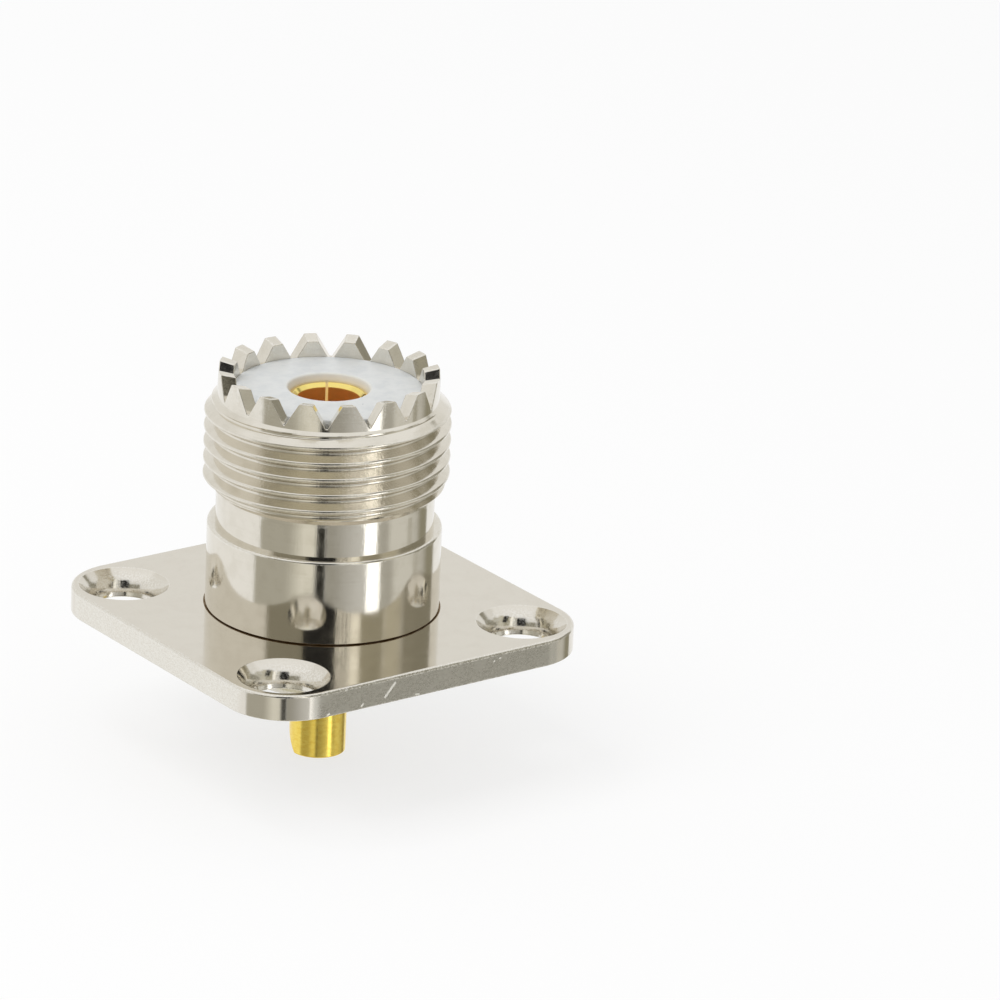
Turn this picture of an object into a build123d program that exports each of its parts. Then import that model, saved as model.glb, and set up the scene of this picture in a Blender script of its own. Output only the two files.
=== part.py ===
from build123d import *
import math
import os

os.makedirs("parts", exist_ok=True)

# All sizes are in millimetres and degrees. Z runs along the axis to the mating end,
# and Z = 0 is the flange's rear face, which meets the panel.

# Square flange
flange_side = 25.5
flange_thickness = 1.7
flange_corner_radius = 4.2
flange_edge_chamfer = 0.15

# Four screw holes, countersunk from the front
hole_edge_distance = 3.6
hole_radius = 2.0
countersink_rim_radius = 2.92
countersink_angle = 90.0

# Barrel outside, from the flange forwards
collar_radius = 7.5
collar_length = 5.6
collar_edge_chamfer = 0.25
spigot_step = 0.25
neck_step = 0.53
neck_length = 2.3
thread_major_radius = 7.85
thread_length = 5.5
thread_start_taper = 0.8
shoulder_taper = 0.7

# Ring of teeth at the mating end
crown_radius = 7.05
crown_length = 1.73
crown_dish = 0.24
tooth_count = 16
first_tooth_angle = 20.65
notch_depth = 1.63
notch_angle = 62.0

# Rear boss, with its lip rolled in over the rear insulator
boss_taper = 0.7
boss_radius = 5.9
boss_length = 2.75
lip_rounding = 0.8
lip_thickness = 0.25
lip_opening_radius = 4.75

# White insulators
front_insulator_radius = 6.0
front_insulator_recess = 1.2
seat_height = 4.0
rear_insulator_radius = 4.9
mouth_flare_width = 0.15
mouth_flare_depth = 0.4

# Split socket at the mating end of the contact
socket_radius = 2.4
socket_bore_radius = 2.0
socket_bore_depth = 10.8
socket_lead_in = 0.25
socket_recess = 0.48
slot_count = 4
slot_width = 0.18
slot_depth = 6.5
first_slot_angle = 58.5

# Captive shoulder between the insulators
keeper_radius = 2.9
keeper_length = 0.8

# Solder cup behind the flange
cup_radius = 1.83
cup_reach = 8.35
cup_bore_radius = 1.3
cup_bore_depth = 4.45
cup_open_length = 3.25
cup_slant_angle = 38.0
cup_open_side_angle = 68.0
drill_point_angle = 118.0

# Clearances
spigot_clearance = 0.02
insulator_clearance = 0.05
contact_clearance = 0.05
overshoot = 1.0

# Sizes that follow from those above
hole_pitch = flange_side - 2 * hole_edge_distance
spigot_radius = collar_radius - spigot_step
neck_radius = collar_radius - neck_step

# Heights along the axis
collar_top = flange_thickness + collar_length
neck_top = collar_top + neck_length
thread_top = neck_top + thread_length
shoulder_top = thread_top + shoulder_taper
crown_top = shoulder_top + crown_length
insulator_face = crown_top - front_insulator_recess
socket_rim = insulator_face - socket_recess
keeper_bottom = seat_height - keeper_length / 2
keeper_top = seat_height + keeper_length / 2
lip_inside = lip_thickness - boss_length


def outline_face(points):
    return make_face(Plane.XZ * Polyline(*points, close=True))


def corner(face, radius, height):
    return face.vertices().sort_by_distance((radius, 0, height))[0]


def turned(face):
    return revolve(face, Axis.Z, 360)


def drill_point_height(radius):
    return radius / math.tan(math.radians(drill_point_angle / 2))


def mounting_flange():
    outline = RectangleRounded(flange_side, flange_side, flange_corner_radius)
    plate = extrude(outline, flange_thickness)
    front_rim = plate.faces().sort_by(Axis.Z)[-1].edges()
    plate = chamfer(front_rim, flange_edge_chamfer)
    plate -= spigot_hole()
    for place in GridLocations(hole_pitch, hole_pitch, 2, 2):
        plate -= place * screw_hole()
    return plate


def spigot_hole():
    radius = spigot_radius + spigot_clearance
    points = [
        (0, -overshoot),
        (radius, -overshoot),
        (radius, flange_thickness + overshoot),
        (0, flange_thickness + overshoot),
    ]
    return turned(outline_face(points))


def screw_hole():
    slope = math.tan(math.radians(countersink_angle / 2))
    throat_height = flange_thickness - (countersink_rim_radius - hole_radius) / slope
    points = [
        (0, -overshoot),
        (hole_radius, -overshoot),
        (hole_radius, throat_height),
        (countersink_rim_radius + overshoot * slope, flange_thickness + overshoot),
        (0, flange_thickness + overshoot),
    ]
    return turned(outline_face(points))


def barrel():
    front_bore = front_insulator_radius + insulator_clearance
    rear_bore = rear_insulator_radius + insulator_clearance
    points = [
        (lip_opening_radius, -boss_length),
        (boss_radius, -boss_length),
        (boss_radius, -boss_taper),
        (spigot_radius, 0),
        (spigot_radius, flange_thickness),
        (collar_radius, flange_thickness),
        (collar_radius, collar_top),
        (neck_radius, collar_top),
        (neck_radius, neck_top),
        (thread_major_radius, neck_top + thread_start_taper),
        (thread_major_radius, thread_top),
        (crown_radius, shoulder_top),
        (crown_radius, crown_top),
        (front_bore, crown_top - crown_dish),
        (front_bore, seat_height),
        (rear_bore, seat_height),
        (rear_bore, lip_inside),
        (lip_opening_radius, lip_inside),
    ]
    face = outline_face(points)
    face = fillet(corner(face, boss_radius, -boss_length), lip_rounding)
    face = chamfer(corner(face, collar_radius, collar_top), collar_edge_chamfer)
    body = turned(face)
    pitch_angle = 360 / tooth_count
    for index in range(tooth_count):
        angle = first_tooth_angle + (index + 0.5) * pitch_angle
        body -= Rot(0, 0, angle) * notch()
    return body


def notch():
    slope = math.tan(math.radians(notch_angle / 2))
    half_width = (notch_depth + overshoot) * slope
    points = [
        (0, crown_top - notch_depth),
        (half_width, crown_top + overshoot),
        (-half_width, crown_top + overshoot),
    ]
    face = make_face(Plane.YZ * Polyline(*points, close=True))
    return extrude(face, crown_radius + overshoot, dir=(1, 0, 0))


def front_insulator():
    hole = socket_radius + contact_clearance
    recess = keeper_radius + contact_clearance
    points = [
        (recess, seat_height),
        (front_insulator_radius, seat_height),
        (front_insulator_radius, insulator_face),
        (hole + mouth_flare_width, insulator_face),
        (hole, insulator_face - mouth_flare_depth),
        (hole, keeper_top),
        (recess, keeper_top),
    ]
    return turned(outline_face(points))


def rear_insulator():
    hole = cup_radius + contact_clearance
    recess = keeper_radius + contact_clearance
    points = [
        (hole, lip_inside),
        (rear_insulator_radius, lip_inside),
        (rear_insulator_radius, seat_height),
        (recess, seat_height),
        (recess, keeper_bottom),
        (hole, keeper_bottom),
    ]
    return turned(outline_face(points))


def centre_contact():
    socket_floor = socket_rim - socket_bore_depth
    cup_floor = cup_bore_depth - cup_reach
    points = [
        (cup_bore_radius, -cup_reach),
        (cup_radius, -cup_reach),
        (cup_radius, keeper_bottom),
        (keeper_radius, keeper_bottom),
        (keeper_radius, keeper_top),
        (socket_radius, keeper_top),
        (socket_radius, socket_rim),
        (socket_bore_radius + socket_lead_in, socket_rim),
        (socket_bore_radius, socket_rim - socket_lead_in),
        (socket_bore_radius, socket_floor),
        (0, socket_floor - drill_point_height(socket_bore_radius)),
        (0, cup_floor + drill_point_height(cup_bore_radius)),
        (cup_bore_radius, cup_floor),
    ]
    contact = turned(outline_face(points))
    for index in range(slot_count):
        angle = first_slot_angle + index * 360 / slot_count
        contact -= Rot(0, 0, angle) * socket_slot()
    return contact - Rot(0, 0, cup_open_side_angle) * cup_slant()


def socket_slot():
    length = socket_radius + overshoot
    height = slot_depth + overshoot
    place = Pos(length / 2, 0, socket_rim - slot_depth + height / 2)
    return place * Box(length, slot_width, height)


def cup_slant():
    slope = math.tan(math.radians(cup_slant_angle))
    top_height = cup_open_length - cup_reach + overshoot
    low_height = -cup_reach - overshoot
    top_reach = cup_radius + overshoot * slope
    low_reach = top_reach - (top_height - low_height) * slope
    points = [
        (top_reach, top_height),
        (low_reach, low_height),
        (top_reach, low_height),
    ]
    return extrude(outline_face(points), cup_radius + overshoot, both=True)


nodes = {
    "mounting_flange": mounting_flange(),
    "barrel": barrel(),
    "front_insulator": front_insulator(),
    "rear_insulator": rear_insulator(),
    "centre_contact": centre_contact(),
}
for name, solid in nodes.items():
    solid.label = name
    export_step(solid, f"parts/{name}.step")
    print(name, round(solid.volume, 2), "mm3")
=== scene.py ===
import bpy
import math
import numpy as np
from mathutils import Matrix, Vector
from mathutils.geometry import tessellate_polygon


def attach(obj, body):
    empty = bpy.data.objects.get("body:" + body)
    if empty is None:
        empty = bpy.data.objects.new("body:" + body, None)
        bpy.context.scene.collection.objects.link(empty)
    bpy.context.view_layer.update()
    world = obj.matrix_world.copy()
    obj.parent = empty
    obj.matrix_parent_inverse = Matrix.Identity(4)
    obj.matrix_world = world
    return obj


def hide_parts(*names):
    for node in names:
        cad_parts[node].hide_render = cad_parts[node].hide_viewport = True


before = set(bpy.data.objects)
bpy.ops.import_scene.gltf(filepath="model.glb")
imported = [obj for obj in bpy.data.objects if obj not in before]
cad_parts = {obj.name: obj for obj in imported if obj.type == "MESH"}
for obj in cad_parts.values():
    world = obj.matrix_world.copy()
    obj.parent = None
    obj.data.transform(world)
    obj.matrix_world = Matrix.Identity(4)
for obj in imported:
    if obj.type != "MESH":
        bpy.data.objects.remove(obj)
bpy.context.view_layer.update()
print("stage: frame loaded,", len(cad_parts), "nodes")

# Sizes are in millimetres and degrees until a mesh is made, and then in metres
metre = 0.001
micrometre = 1e-6
nearly = 1e-6  # places closer than this are the same
weldStep = 1e-7  # metres
weldShift = 0.37  # of a step, so that no limit between two steps falls on a corner
supportRoom = 4  # reaches of a support row that its stretch has to hold
diagonal = 0.707  # a normal's part each way, halfway round a small rounding
bevel = 0.3  # share of a small rounding that its middle row stands in

# Sizes that more than one piece uses
shared = {
    "flangeTop": 1.7,
    "collarRadius": 7.5,
    "spigotRadius": 7.25,
    "boreRadius": 6.05,
    "rearBoreRadius": 4.95,
    "lipInside": -2.5,
    "seatHeight": 4.0,  # where the two insulators meet
    "keeperHoleRadius": 2.95,
    "keeperBottom": 3.6,
    "keeperTop": 4.4,
    "crownTop": 17.53,
    "cupTip": -8.35,
    "cameraSide": 233.3,  # world angle round the axis at which the camera stands
}


# Outlines: a corner is (radius, height, rounding), the open air is on the right of the path,
# and each row that comes out is (radius, height, normal out, normal up, edge)

def heading(start, end):
    length = math.hypot(end[0] - start[0], end[1] - start[1])
    return (end[0] - start[0]) / length, (end[1] - start[1]) / length, length


def cornerRows(before, here, after, steps=4, support=0.04):
    # support is how far beyond a rounding one more row stands, where there is room
    inOut, inUp, inLength = heading(before, here)
    nextOut, nextUp, nextLength = heading(here, after)
    rounding = here[2] if len(here) > 2 else 0
    if rounding == 0:
        return [(here[0], here[1], inUp, -inOut, 0), (here[0], here[1], nextUp, -nextOut, 0)]
    turn = math.atan2(inOut * nextUp - inUp * nextOut, inOut * nextOut + inUp * nextUp)
    side = 1 if turn > 0 else -1
    reach = rounding * math.tan(abs(turn) / 2)
    middleOut = here[0] - reach * inOut - side * rounding * inUp
    middleUp = here[1] - reach * inUp + side * rounding * inOut
    rows = []
    if support and inLength > supportRoom * (reach + support):
        far = reach + support
        rows.append((here[0] - far * inOut, here[1] - far * inUp, inUp, -inOut, 0))
    for step in range(steps + 1):
        angle = turn * step / steps
        out = inUp * math.cos(angle) + inOut * math.sin(angle)
        up = inUp * math.sin(angle) - inOut * math.cos(angle)
        place = (middleOut + side * rounding * out, middleUp + side * rounding * up)
        rows.append((*place, out, up, max(side, 0)))
    if support and nextLength > supportRoom * (reach + support):
        far = reach + support
        rows.append((here[0] + far * nextOut, here[1] + far * nextUp, nextUp, -nextOut, 0))
    return rows


def closedOutline(corners):
    rows = []
    for index, here in enumerate(corners):
        rows += cornerRows(corners[index - 1], here, corners[(index + 1) % len(corners)])
    return rows + rows[:1]


def openOutline(corners):
    out, up, length = heading(corners[0], corners[1])
    rows = [(corners[0][0], corners[0][1], up, -out, 0)]
    for index in range(1, len(corners) - 1):
        rows += cornerRows(corners[index - 1], corners[index], corners[index + 1])
    out, up, length = heading(corners[-2], corners[-1])
    return rows + [(corners[-1][0], corners[-1][1], up, -out, 0)]


# Grids of cells: each cell has four corners, four normals and four edge values

def closedRing(values):
    return np.append(values, values[..., :1], axis=-1)


def cornersOf(grid):
    cells = np.stack([grid[:-1, :-1], grid[:-1, 1:], grid[1:, 1:], grid[1:, :-1]], 2)
    return cells.reshape(-1, 4, grid.shape[-1])


def flatNormals(cells):
    normal = np.cross(cells[:, 2] - cells[:, 0], cells[:, 3] - cells[:, 1])
    length = np.linalg.norm(normal, axis=1, keepdims=True)
    normal = normal / np.maximum(length, 1e-12)
    return np.repeat(normal[:, None, :], 4, axis=1)


def ringPoints(radius, height, angles):
    turn = np.radians(angles)
    radius, height, turn = np.broadcast_arrays(radius, height, turn)
    return np.stack([radius * np.cos(turn), radius * np.sin(turn), height], -1)


def gridCells(grids):
    return tuple(cornersOf(grid) for grid in grids)


def turnedGrids(rows, angles, centre=(0, 0)):
    table = np.array(rows, float)
    points = ringPoints(table[:, 0:1], table[:, 1:2], angles) + np.array([*centre, 0.0])
    normals = ringPoints(table[:, 2:3], table[:, 3:4], angles)
    return points, normals, np.broadcast_to(table[:, 4:5], points.shape[:2])[..., None]


def turnedCells(rows, angles, centre=(0, 0)):
    return gridCells(turnedGrids(rows, angles, centre))


def flatCells(grid, edge=0.0):
    cells = cornersOf(grid)
    return cells, flatNormals(cells), np.full((len(cells), 4, 1), edge)


def filledCells(loops, normal):
    # Flat face inside the first loop and outside the others
    points = np.concatenate(loops)
    triangles = np.array(tessellate_polygon([[Vector(point) for point in loop] for loop in loops]))
    cells = points[triangles]
    turned = np.cross(cells[:, 1] - cells[:, 0], cells[:, 2] - cells[:, 0]) @ np.array(normal) < 0
    cells[turned] = cells[turned][:, ::-1]
    cells = np.concatenate([cells, cells[:, 2:3]], axis=1)
    normals = np.broadcast_to(np.array(normal, float), cells.shape)
    return cells, normals, np.zeros((len(cells), 4, 1))


def placeObject(name, data):
    thing = bpy.data.objects.new(name, data)
    bpy.context.scene.collection.objects.link(thing)
    return thing


def addPiece(name, node, material, parts):
    corners = np.concatenate([part[0] for part in parts]) * metre
    normals = np.concatenate([part[1] for part in parts])
    edges = np.concatenate([part[2] for part in parts])
    keys = np.floor(corners.reshape(-1, 3) / weldStep + weldShift).astype(np.int64)
    found, first, inverse = np.unique(keys, axis=0, return_index=True, return_inverse=True)
    points = corners.reshape(-1, 3)[first]
    cells = inverse.reshape(-1, 4).tolist()
    faces, faceNormals, faceEdges = [], [], []
    for cell, cellNormals, cellEdges in zip(cells, normals.tolist(), edges.tolist()):
        kept = [spot for spot in range(4) if cell[spot] != cell[spot - 1]]
        if len(kept) > 2 and len({cell[spot] for spot in kept}) == len(kept):
            faces.append([cell[spot] for spot in kept])
            faceNormals += [cellNormals[spot] for spot in kept]
            faceEdges += [cellEdges[spot][0] for spot in kept]
    mesh = bpy.data.meshes.new(name)
    mesh.from_pydata(points.tolist(), [], faces)
    mesh.shade_smooth()
    mesh.normals_split_custom_set(faceNormals)
    mesh.attributes.new("edge", "FLOAT", "CORNER").data.foreach_set("value", faceEdges)
    mesh.materials.append(material)
    piece = placeObject(name, mesh)
    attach(piece, "root")
    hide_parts(node)
    print("stage:", name, len(faces), "faces")


# Finishes: a value is a number or a socket, and a colour is three numbers or a socket

def setInputs(tree, node, inputs):
    for key, value in inputs.items():
        if isinstance(value, bpy.types.NodeSocket):
            tree.links.new(value, node.inputs[key])
        else:
            node.inputs[key].default_value = value


def addNode(tree, kind, inputs=None, **settings):
    node = tree.nodes.new(kind)
    for key, value in settings.items():
        setattr(node, key, value)
    setInputs(tree, node, inputs or {})
    return node


def calculate(tree, operation, first, second=0.0, clamp=False):
    inputs = {0: first, 1: second}
    return addNode(tree, "ShaderNodeMath", inputs, operation=operation, use_clamp=clamp).outputs[0]


def plus(tree, first, second, clamp=False):
    return calculate(tree, "ADD", first, second, clamp)


def times(tree, first, second):
    return calculate(tree, "MULTIPLY", first, second)


def opaque(colour):
    return colour if isinstance(colour, bpy.types.NodeSocket) else (*colour, 1)


def blendColours(tree, share, first, second):
    inputs = {0: share, 6: opaque(first), 7: opaque(second)}
    return addNode(tree, "ShaderNodeMix", inputs, data_type="RGBA").outputs[2]


def ramp(tree, value, low, high, lowResult=0.0, highResult=1.0):
    inputs = {0: value, 1: low, 2: high, 3: lowResult, 4: highResult}
    return addNode(tree, "ShaderNodeMapRange", inputs, interpolation_type="SMOOTHSTEP").outputs[0]


def bandMask(tree, value, low, high, soft):
    # 1 from low to high, fading out beyond both
    rising = ramp(tree, value, low - soft, low)
    return times(tree, rising, ramp(tree, value, high, high + soft, 1.0, 0.0))


def grain(tree, vector, scale, detail=2.0, roughness=0.5):
    inputs = {"Vector": vector, "Scale": scale, "Detail": detail, "Roughness": roughness}
    return addNode(tree, "ShaderNodeTexNoise", inputs).outputs[0]


def streaks(tree, values, stretch, detail, roughness=0.5):
    # Grain that is drawn out: the smaller a value's factor, the longer it runs that way
    parts = [times(tree, value, factor) for value, factor in zip(values, stretch)]
    vector = addNode(tree, "ShaderNodeCombineXYZ", dict(enumerate(parts))).outputs[0]
    return grain(tree, vector, 1.0, detail, roughness)


def turnedAxes(tree, first, second, along, aside):
    # Two values as they measure along the way (along, aside), and square to it
    onward = plus(tree, times(tree, first, along), times(tree, second, aside))
    across = calculate(tree, "SUBTRACT", times(tree, second, along), times(tree, first, aside))
    return onward, across


def objectPlace(tree):
    # Place in millimetres, its three axes, and its angle and radius round the axis
    inputs = {0: addNode(tree, "ShaderNodeTexCoord").outputs["Object"], 1: (1 / metre,) * 3}
    place = addNode(tree, "ShaderNodeVectorMath", inputs, operation="MULTIPLY").outputs[0]
    axes = addNode(tree, "ShaderNodeSeparateXYZ", {0: place}).outputs
    angle = calculate(tree, "ARCTAN2", axes[1], axes[0])
    square = plus(tree, times(tree, axes[0], axes[0]), times(tree, axes[1], axes[1]))
    return place, axes, angle, calculate(tree, "SQRT", square)


def startMaterial(name):
    material = bpy.data.materials.new(name)
    material.use_nodes = True
    tree = material.node_tree
    return material, tree, tree.nodes["Principled BSDF"]


def heightToBump(tree, layers):
    # Layers are (height, depth in micrometres), stacked from the broadest to the finest
    normal = None
    for height, depth in layers:
        inputs = {"Strength": 1.0, "Distance": depth * micrometre, "Height": height}
        if normal is not None:
            inputs["Normal"] = normal
        normal = addNode(tree, "ShaderNodeBump", inputs).outputs[0]
    return normal


# Bright nickel plate over brass. In this and the other finishes a grain is (scale, detail,
# roughness) and streaks are (stretch, detail, roughness). A spread is the two ends of a grain or
# of a place in millimetres, and what they give where that isn't 0 and 1. A band ends with how far
# it fades out. Depths are in micrometres
nickelFinish = {
    "turned": {
        "colour": (0.77, 0.733, 0.655),
        "dullColour": (0.68, 0.64, 0.555),
        "roughness": (0.06, 0.12),
    },
    "flat": {
        "colour": (0.755, 0.718, 0.645),
        "dullColour": (0.72, 0.68, 0.605),
        "roughness": (0.07, 0.12),
    },
    "mottleGrain": (0.9, 3),
    "mottleSpread": (0.35, 0.7),
    "mottleDepth": 1.6,
    "speckleGrain": (9.0, 2),
    "speckleRoughness": 0.03,
    "turningStreaks": ((2.2, 8.0, 8.0), 3, 0.6),
    "turningDepth": 0.3,
    "turningDulls": 0.4,
    "dullSpread": (0.6, 0.95, 0.0, 0.5),
    "wornColour": (0.86, 0.84, 0.79),
    "wornSpread": (0.42, 0.6),
    "wornShare": 0.7,
    "wornRoughness": 0.12,
    "seamColour": (0.20, 0.125, 0.05),  # dark brown in the seam between collar and flange
    "seamRadiusBand": (7.38, 7.58, 0.03),
    "seamHeightBand": (1.6, 1.78, 0.03),
    "seamSpread": (0.25, 0.55, 0.7, 1.0),
    "seamRoughness": 0.35,
}

barrelFinish = {
    "threadFade": 0.3,
    "threadRoughness": 0.05,
    "chatterStreaks": ((14.0, 2.5, 3.5), 3, 0.6),
    "chatterDepth": 7.0,
    "lineStreaks": ((70.0, 1.2, 1.2), 2, 0.6),  # fine lines along the axis
    "lineDepth": 1.9,
    "threadLineDepth": 4.5,
}

flangeFinish = {
    "sideSpread": (12.6, 12.7),
    "sideHeightBand": (0.04, 1.62, 0.04),
    "sideColour": (0.84, 0.82, 0.76),
    "sideRoughness": 0.2,
    "millingStreaks": ((5.0, 5.0, 9.0), 3, 0.7),
    "millingSpread": (0.3, 0.75),
    "millingRoughness": (0.2, 0.8, 0.7, 1.1),
    "millingDepth": 2.5,
    "shadedSideColour": (0.42, 0.405, 0.36),  # painted shade: the -Y side face is darkened in its colour, standing in for the dim things it mirrors
    "shadedSidePlace": (-12.6, -12.45, 1.0, 0.0),
    "shadedSideSpread": (0.25, 0.8, 1.0, 0.75),
    "minusYRoughness": (-12.6, -12.45, 1.0, 0.3),
    "stripeBand": (9.0, 9.5, 0.4),  # a paler stripe across the painted shade on the -Y side
    "stripeShare": 0.3,
    "nickPlace": (-12.6, -12.5, 1.0, 0.0),
    "nickColour": (1.0, 0.99, 0.96),
    "nickRoughness": 0.4,
    "nickDepth": 30.0,
    "nickEndFade": 0.05,
    "nickCore": 0.4,  # share of a nick's half width that is full
    "rearPlace": (0.02, 0.08, 1.0, 0.0),
    "rearRoughness": 0.1,
    "facingStreaks": ((0.7, 5.0), 4, 0.7),
    "scratchStreaks": ((0.8, 7.0, 1.0), 4, 0.7),
    "scratchShare": 0.5,
    "facingDepth": 4.0,
}

# Nicks in the flange's side on the -Y face: ends as (x, z), and half width, in millimetres
sideNicks = [
    {"from": (-3.93, 0.42), "to": (-3.15, 1.3), "width": 0.12},
    {"from": (-6.95, 1.5), "to": (-6.8, 1.58), "width": 0.09},
    {"from": (-5.72, 0.2), "to": (-5.55, 0.34), "width": 0.1},
    {"from": (-8.3, 0.12), "to": (-8.1, 0.2), "width": 0.1},
    {"from": (4.4, 1.16), "to": (4.5, 1.2), "width": 0.08},
    {"from": (4.85, 1.3), "to": (4.95, 1.3), "width": 0.08},
    {"from": (-1.6, 0.16), "to": (-1.3, 0.12), "width": 0.08},
]


def nickMask(tree, axes):
    # 1 on the nicks of the -Y side, by distance from each nick's line
    total = 0.0
    for nick in sideNicks:
        wayX, wayZ, length = heading(nick["from"], nick["to"])
        offX = calculate(tree, "SUBTRACT", axes[0], nick["from"][0])
        offZ = calculate(tree, "SUBTRACT", axes[2], nick["from"][1])
        along, across = turnedAxes(tree, offX, offZ, wayX, wayZ)
        inLine = bandMask(tree, along, 0.0, length, flangeFinish["nickEndFade"])
        core = nick["width"] * flangeFinish["nickCore"]
        inWidth = ramp(tree, calculate(tree, "ABSOLUTE", across), core, nick["width"], 1.0, 0.0)
        total = calculate(tree, "MAXIMUM", total, times(tree, inLine, inWidth))
    return times(tree, total, ramp(tree, axes[1], *flangeFinish["nickPlace"]))


def barrelMarks(tree, axes, angle, radius, roughness, layers):
    # The thread is cut, so it is rougher, in streaks that run round with it
    look = barrelFinish
    onThread = bandMask(tree, axes[2], thread["bottom"], thread["shoulderEdge"], look["threadFade"])
    chatter = streaks(tree, (angle, radius, axes[2]), *look["chatterStreaks"])
    lines = streaks(tree, (angle, axes[2], radius), *look["lineStreaks"])
    layers.insert(1, (times(tree, chatter, onThread), look["chatterDepth"]))
    layers.append((lines, look["lineDepth"]))
    layers.append((times(tree, lines, onThread), look["threadLineDepth"]))
    return plus(tree, roughness, times(tree, onThread, look["threadRoughness"]))


def flangeMarks(tree, axes, angle, radius, colour, roughness, layers):
    # The sides are milled dull, the -Y side is darkened with painted shade, and the rear face shows its
    # turning
    look, plain = flangeFinish, nickelFinish["flat"]["colour"]
    reach = [calculate(tree, "ABSOLUTE", axes[item]) for item in (0, 1)]
    onSide = ramp(tree, calculate(tree, "MAXIMUM", *reach), *look["sideSpread"])
    onSide = times(tree, onSide, bandMask(tree, axes[2], *look["sideHeightBand"]))
    milling = streaks(tree, axes, *look["millingStreaks"])
    milled = ramp(tree, milling, *look["millingSpread"])
    sideColour = blendColours(tree, milled, look["sideColour"], plain)
    # Painted shade: the -Y side face is darkened in its colour, broken up by the milling grain
    shadedSide = times(tree, ramp(tree, axes[1], *look["shadedSidePlace"]), ramp(tree, milling, *look["shadedSideSpread"]))
    stripe = times(tree, bandMask(tree, axes[0], *look["stripeBand"]), look["stripeShare"])
    shadedSide = times(tree, shadedSide, calculate(tree, "SUBTRACT", 1.0, stripe))
    sideColour = blendColours(tree, shadedSide, sideColour, look["shadedSideColour"])
    colour = blendColours(tree, onSide, colour, sideColour)
    nicks = nickMask(tree, axes)
    colour = blendColours(tree, nicks, colour, look["nickColour"])
    rough = times(tree, onSide, ramp(tree, axes[1], *look["minusYRoughness"]))
    sideRoughness = times(tree, rough, look["sideRoughness"])
    sideRoughness = times(tree, sideRoughness, ramp(tree, milling, *look["millingRoughness"]))
    roughness = plus(tree, roughness, sideRoughness)
    roughness = plus(tree, roughness, times(tree, nicks, look["nickRoughness"]))
    onRear = ramp(tree, axes[2], *look["rearPlace"])
    roughness = plus(tree, roughness, times(tree, onRear, look["rearRoughness"]))
    facing = streaks(tree, (angle, radius), *look["facingStreaks"])
    scratches = streaks(tree, axes, *look["scratchStreaks"])
    facing = plus(tree, facing, times(tree, scratches, look["scratchShare"]))
    layers.append((times(tree, facing, onRear), look["facingDepth"]))
    layers.append((times(tree, milling, rough), look["millingDepth"]))
    layers.append((nicks, look["nickDepth"]))
    return colour, roughness


def nickelMaterial(name, kind):
    # kind is "turned" for the barrel and "flat" for the flange
    look, tones = nickelFinish, nickelFinish[kind]
    material, tree, shader = startMaterial(name)
    place, axes, angle, radius = objectPlace(tree)
    edge = addNode(tree, "ShaderNodeAttribute", attribute_name="edge").outputs["Fac"]
    mottle = grain(tree, place, *look["mottleGrain"])
    speckle = grain(tree, place, *look["speckleGrain"])
    turning = streaks(tree, (angle, radius, axes[2]), *look["turningStreaks"])
    roughness = ramp(tree, mottle, *look["mottleSpread"], *tones["roughness"])
    roughness = plus(tree, roughness, times(tree, speckle, look["speckleRoughness"]))
    dull = plus(tree, mottle, times(tree, turning, look["turningDulls"]))
    dull = ramp(tree, dull, *look["dullSpread"])
    colour = blendColours(tree, dull, tones["colour"], tones["dullColour"])
    layers = [(mottle, look["mottleDepth"]), (turning, look["turningDepth"])]
    if kind == "turned":
        roughness = barrelMarks(tree, axes, angle, radius, roughness, layers)
    else:
        colour, roughness = flangeMarks(tree, axes, angle, radius, colour, roughness, layers)
    worn = times(tree, edge, ramp(tree, speckle, *look["wornSpread"]))
    colour = blendColours(tree, times(tree, worn, look["wornShare"]), colour, look["wornColour"])
    roughness = plus(tree, roughness, times(tree, worn, look["wornRoughness"]))
    # Dark brown, rougher band along the seam between collar and flange
    seamMark = times(tree, bandMask(tree, radius, *look["seamRadiusBand"]),
                    bandMask(tree, axes[2], *look["seamHeightBand"]))
    seamMark = times(tree, seamMark, ramp(tree, mottle, *look["seamSpread"]))
    colour = blendColours(tree, seamMark, colour, look["seamColour"])
    roughness = plus(tree, roughness, times(tree, seamMark, look["seamRoughness"]), clamp=True)
    setInputs(tree, shader, {
        "Metallic": 1.0,
        "Base Color": colour,
        "Roughness": roughness,
        "Normal": heightToBump(tree, layers),
    })
    return material


goldFinish = {
    "colour": (0.92, 0.71, 0.16),
    "deepColour": (0.84, 0.59, 0.10),
    "mottleGrain": (1.4, 3),
    "mottleRoughness": (0.35, 0.7, 0.09, 0.15),
    "mottleDepth": 2.0,
    "latheStreaks": ((4.0, 6.0, 5.0), 3, 0.6),
    "latheSpread": (0.35, 0.75),
    "latheDepth": 0.5,
    "speckleGrain": (12.0, 2),
    "speckleDepth": 0.3,
    "cupRoughness": (-3.0, -2.5, 0.09, 0.0),  # more on the cup than on the socket
    "rimColour": (0.93, 0.755, 0.245),
    "rimPlace": (15.45, 15.7),
    # painted shade: a deeper orange for the inside of the bore
    "boreShadeColour": (0.92, 0.50, 0.15),
    "boreRoughness": 0.5,
    "boreRadius": (2.05, 2.1, 1.0, 0.0),
    "boreHeightBand": (4.6, 15.55, 0.1),
}


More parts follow.
